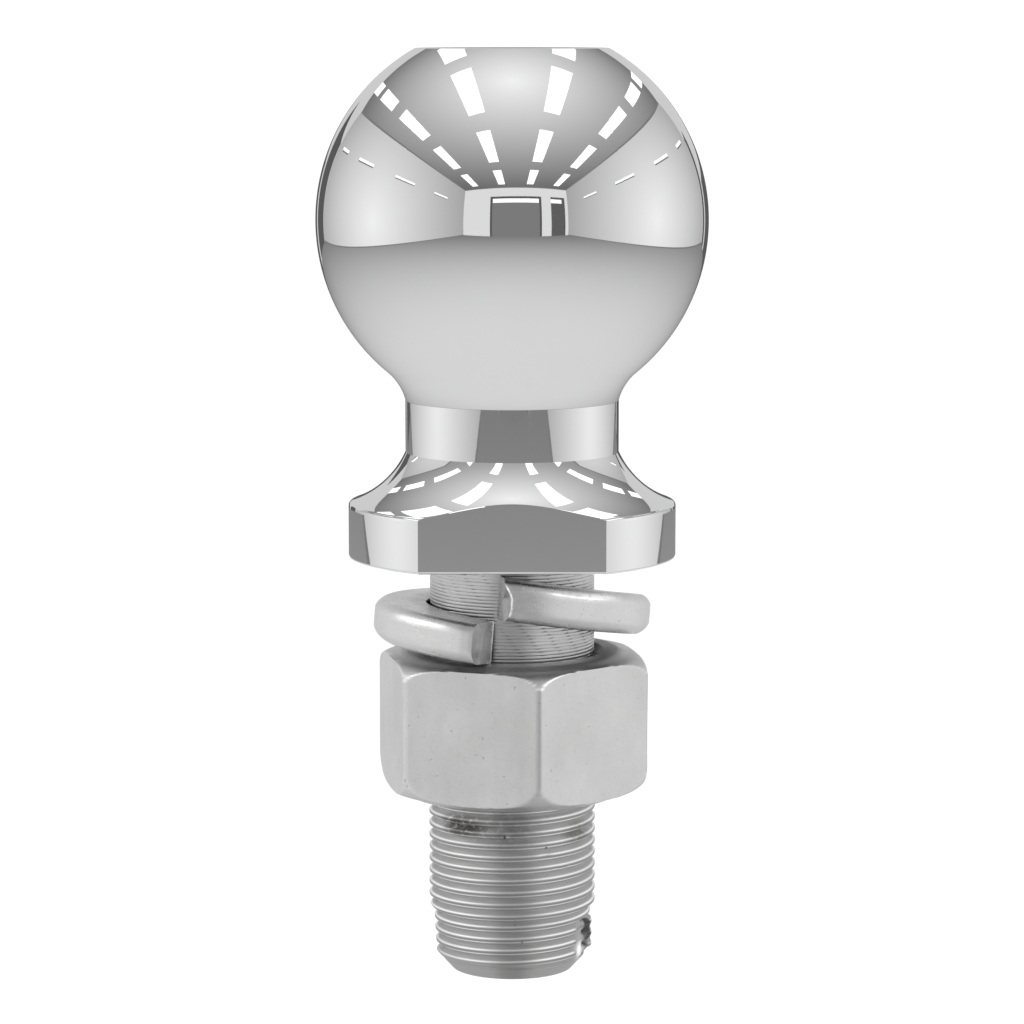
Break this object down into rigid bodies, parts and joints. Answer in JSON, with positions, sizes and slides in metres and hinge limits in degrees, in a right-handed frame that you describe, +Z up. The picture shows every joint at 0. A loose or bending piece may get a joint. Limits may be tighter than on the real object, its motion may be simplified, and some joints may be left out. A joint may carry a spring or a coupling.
{
  "type": "trailer hitch ball",
  "caption": "Trailer hitch ball: one-piece forged ball, neck, flatted collar and threaded shank, with a split lock washer and a hex nut that screw along the shank.",
  "frame": {"origin": "centre of the collar's flat underside, on the shank's axis", "axes": "+Z up along the shank towards the ball; the collar's two wrench flats face -Y and +Y"},
  "size_m": [0.0588, 0.0588, 0.1395],
  "materials": {
    "forging": "mirror chrome on the ball, neck and collar; bright machined thread",
    "washer": "satin zinc plate",
    "nut": "satin zinc plate"
  },
  "bodies": {
    "hitch_ball": {"hitch_ball": "forging"},
    "lock_washer": {"lock_washer": "washer"},
    "hex_nut": {"hex_nut": "nut"}
  },
  "joints": [
    {"name": "washer_slide", "type": "slide", "parent": "hitch_ball", "child": "lock_washer", "axis": [0, 0, -1], "range_m": [0, 0.069]},
    {"name": "nut_turn", "type": "hinge", "parent": "lock_washer", "child": "hex_nut", "pos_m": [0, 0, 0], "axis": [0, 0, -1], "range_deg": [0, 13680]}
  ],
  "couplings": [
    {"joint": "washer_slide", "follows": "nut_turn", "m_per_rad": 0.00028876}
  ]
}
